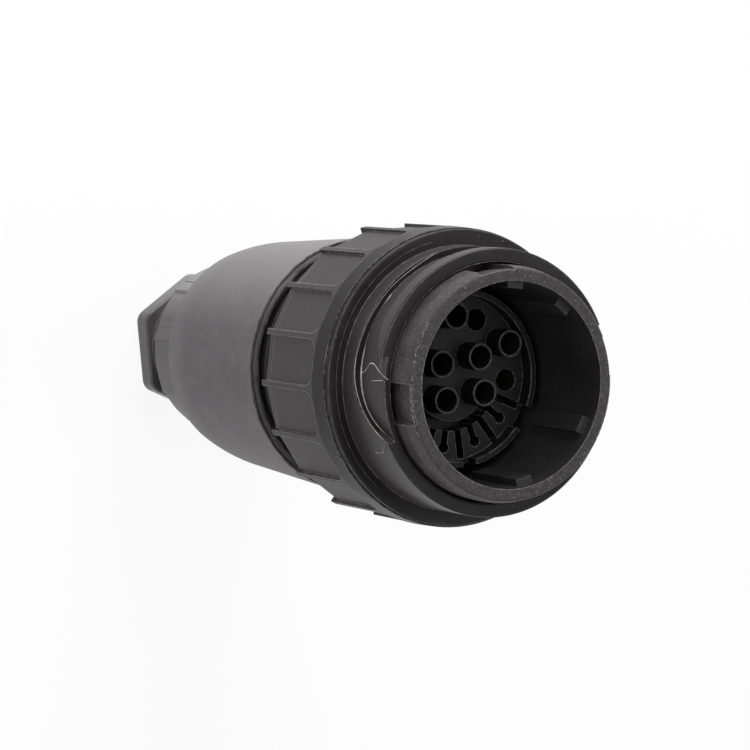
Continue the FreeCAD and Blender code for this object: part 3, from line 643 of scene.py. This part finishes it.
flashSwell = (0.8, 1.4, 0.6, 1.1, 0.3)
flashStrings = {
    # name: thickness, finish, path
    "ringFlashLong": (0.05, flashAndGlintPale, [
        (355.9, 11.7, 23.5), (356.6, 11.2, 23.6), (356.5, 10.5, 23.6), (355.2, 10.1, 23.5),
        (353.9, 9.4, 23.5), (352.5, 8.9, 23.6), (351.9, 7.9, 23.6), (353.0, 6.8, 23.5),
        (354.6, 5.8, 23.5), (356.6, 4.2, 23.4), (358.2, 2.9, 23.0)]),
    "ringFlashShort": (0.045, flashAndGlintPale, [(358.9, 5.3, 22.7), (359.1, 6.3, 23.4), (359.4, 7.8, 23.5)]),
    "grooveCrumb": (0.17, flashAndGlintGrey, [
        (31.5, 11.6, 23.5), (31.9, 11.0, 23.6), (31.3, 10.7, 23.5), (32.0, 10.2, 23.5), (31.0, 9.8, 23.6),
        (31.6, 9.2, 23.5), (30.6, 9.0, 23.6), (31.2, 8.4, 23.5), (30.0, 8.6, 23.5), (29.9, 7.8, 23.6),
        (28.8, 8.2, 23.5), (29.0, 7.4, 23.5), (27.9, 7.7, 23.5), (27.8, 6.9, 23.5), (26.9, 7.2, 23.5)]),
    "mouldSeam": (0.05, flashAndGlintGrey, seamPath),
    "flangeCrumb": (0.06, flashAndGlintGrey, [
        (31.2, 20.9, 26.65), (31.4, 19.8, 26.7), (32.5, 19.3, 26.7), (32.5, 18.5, 26.6)]),
}
for name, (thick, finish, path) in flashStrings.items():
    makeString(name, path, thick, finish, "ring", flashSwell)

# lines along the ring's edges, each a whole or part circle: pale strings that paint the edges' highlights,
# partly edge wear
lineWave = {
    "step": 2.0,
    "stray": 0.03,
    "waves": 0.8,
    "swell": (0.9, 0.5, 1.2, 0.7, 0.35, 1.0, 0.8),
}
ringEdgeGlints = {
    # name: thickness, angle from, angle to, depth, radius
    "flangeEdgeLine": (0.045, -100.0, 62.0, 18.14, 26.30),
    "flangeFaceLine": (0.030, -75.0, 50.0, 17.98, 24.80),
    "lipEdgeLine": (0.040, -95.0, -6.0, 5.52, 23.30),
    "lipInnerLine": (0.040, -110.0, 20.0, 5.52, 21.15),
    "tubeRootLine": (0.030, -90.0, 30.0, 17.95, 23.55),
}
for name, (thick, first, last, depth, radius) in ringEdgeGlints.items():
    count = int((last - first) / lineWave["step"])
    path = []
    for index in range(count + 1):
        angle = first + (last - first) * index / count
        stray = lineWave["stray"] * math.sin(angle * lineWave["waves"] + depth)
        path.append((angle, depth + stray, radius - abs(stray)))
    makeString(name, path, thick, flashAndGlintGrey, "ring", lineWave["swell"])

# the rear wall of the bayonet groove, top edge and foot, running out to the lip: pale strings that paint
# their highlights
grooveSwell = (0.7, 0.9, 0.6, 1.0, 1.2, 1.1, 0.8)
grooveEdgeGlints = {
    "grooveEdgeLine": (0.050, [
        (-70, 14.15, 23.48), (-50, 14.15, 23.48), (-30, 14.15, 23.48), (-14.3, 14.2, 23.48),
        (-5.5, 14.15, 23.48), (2.1, 13.6, 23.5), (10.7, 12.1, 23.5), (16.7, 10.4, 23.5),
        (21.7, 8.5, 23.5), (24.7, 6.7, 23.5)]),
    "grooveFootLine": (0.11, [
        (-42, 14.05, 22.28), (-30, 14.05, 22.28), (-14.2, 14.0, 22.28), (-6.4, 13.85, 22.28),
        (-3.2, 13.7, 22.3), (3.3, 13.4, 22.3), (10.4, 12.6, 22.3), (16.2, 11.2, 22.3),
        (19.9, 9.7, 22.3), (24.2, 7.7, 22.3), (27.6, 5.8, 22.3)]),
}
for name, (thick, path) in grooveEdgeGlints.items():
    makeString(name, path, thick, flashAndGlintPale, "ring", grooveSwell)

# the shell's rim, torn along its outer and inner edge
rimSeed = 11
rimEdges = {
    "rimFlash": {
        "angles": (328.0, 394.0), "step": 0.9, "unevenness": (0.6, 1.4),
        "depth": (0.0, 0.45), "radius": (19.92, 20.22),
        "thick": 0.095, "swell": (1.0, 0.5, 1.4, 0.7, 0.4, 1.1),
    },
    "rimInnerFlash": {
        "angles": (75.0, 300.0), "step": 0.9, "unevenness": (0.5, 1.5),
        "depth": (0.02, 0.3), "radius": (18.15, 18.5),
        "thick": 0.07, "swell": (1.0, 0.2, 0.7, 0.3, 1.3, 0.15, 0.5),
    },
}
dice = random.Random(rimSeed)
for name, edge in rimEdges.items():
    path = []
    angle, last = edge["angles"]
    while angle < last:
        path.append((angle, dice.uniform(*edge["depth"]), dice.uniform(*edge["radius"])))
        angle += edge["step"] * dice.uniform(*edge["unevenness"])
    makeString(name, path, edge["thick"], flashAndGlintGrey, "plug", edge["swell"])
print("flash strings done")


# lights round the plug, all turned to its middle
lamps = {
    # name: angle, distance out, height, size, watts
    "upLow": (270, 0.55, 0.10, 0.40, 4.0),
    "downLow": (60, 0.55, 0.10, 0.40, 1.15),
    "rightLow": (180, 0.55, 0.14, 0.40, 1.7),
    "upHigh": (270, 0.42, 0.50, 0.35, 1.5),
    "leftHigh": (350, 0.42, 0.50, 0.35, 1.2),
    "front": (200, 0.12, 0.75, 0.35, 1.3),
}
lampTarget = Vector((0, 0, 0.075))
for name, (angle, out, height, size, watts) in lamps.items():
    data = bpy.data.lights.new(name, "AREA")
    data.shape = "DISK"
    data.size = size
    data.energy = watts
    lamp = bpy.data.objects.new(name, data)
    turn = math.radians(angle - plug["spinDegrees"])
    lamp.location = Vector((out * math.cos(turn), out * math.sin(turn), height))
    lamp.rotation_mode = "QUATERNION"
    lamp.rotation_quaternion = (lampTarget - lamp.location).to_track_quat("-Z", "Y")
    bpy.context.scene.collection.objects.link(lamp)

room = {
    "roomLight": 0.06,
    "seenWhite": 1.0,
    "floorWhite": 0.90,
    "floorSize": 6.0,
    "floorDrop": 0.0002,
    "floorPaint": (0.85, 0.85, 0.85, 1.0),
    "floorRoughness": 0.9,
    "floorShine": 0.1,
}


def raysThatSeeWhite(tree):
    # camera, glossy and transmitted rays
    rays = tree.nodes.new("ShaderNodeLightPath")
    total = rays.outputs["Is Camera Ray"]
    for kind in ("Is Glossy Ray", "Is Transmission Ray"):
        add = tree.nodes.new("ShaderNodeMath")
        add.operation = "ADD"
        add.use_clamp = True
        tree.links.new(total, add.inputs[0])
        tree.links.new(rays.outputs[kind], add.inputs[1])
        total = add.outputs["Value"]
    return total


world = bpy.data.worlds.new("whiteRoom")
bpy.context.scene.world = world
world.use_nodes = True
tree = world.node_tree
background = tree.nodes["Background"]
background.inputs["Color"].default_value = (1, 1, 1, 1)
background.inputs["Strength"].default_value = room["roomLight"]
white = addNode(tree, "ShaderNodeBackground", Color=(1, 1, 1, 1), Strength=room["seenWhite"])
mix = tree.nodes.new("ShaderNodeMixShader")
tree.links.new(raysThatSeeWhite(tree), mix.inputs["Fac"])
tree.links.new(background.outputs["Background"], mix.inputs[1])
tree.links.new(white.outputs["Background"], mix.inputs[2])
tree.links.new(mix.outputs["Shader"], tree.nodes["World Output"].inputs["Surface"])

# pale floor under the nut: nearly white to the camera, and it keeps the plug's shadow
clearSelection()
bpy.ops.mesh.primitive_plane_add(size=room["floorSize"], location=(0, 0, -room["floorDrop"]))
floor = bpy.context.object
floor.name = "paleFloor"
floorWhite = bpy.data.materials.new("floorWhite")
floorWhite.use_nodes = True
tree = floorWhite.node_tree
paint = tree.nodes["Principled BSDF"]
paint.inputs["Base Color"].default_value = room["floorPaint"]
paint.inputs["Roughness"].default_value = room["floorRoughness"]
paint.inputs["Specular IOR Level"].default_value = room["floorShine"]
glow = addNode(tree, "ShaderNodeEmission", Color=(1, 1, 1, 1), Strength=1.0)
share = tree.nodes.new("ShaderNodeMath")
share.operation = "MULTIPLY"
share.inputs[1].default_value = room["floorWhite"]
tree.links.new(raysThatSeeWhite(tree), share.inputs[0])
mix = tree.nodes.new("ShaderNodeMixShader")
tree.links.new(share.outputs["Value"], mix.inputs["Fac"])
tree.links.new(paint.outputs["BSDF"], mix.inputs[1])
tree.links.new(glow.outputs["Emission"], mix.inputs[2])
tree.links.new(mix.outputs["Shader"], tree.nodes["Material Output"].inputs["Surface"])
floor.data.materials.append(floorWhite)
bpy.context.scene.view_settings.view_transform = "Standard"
print("lights and floor ready")
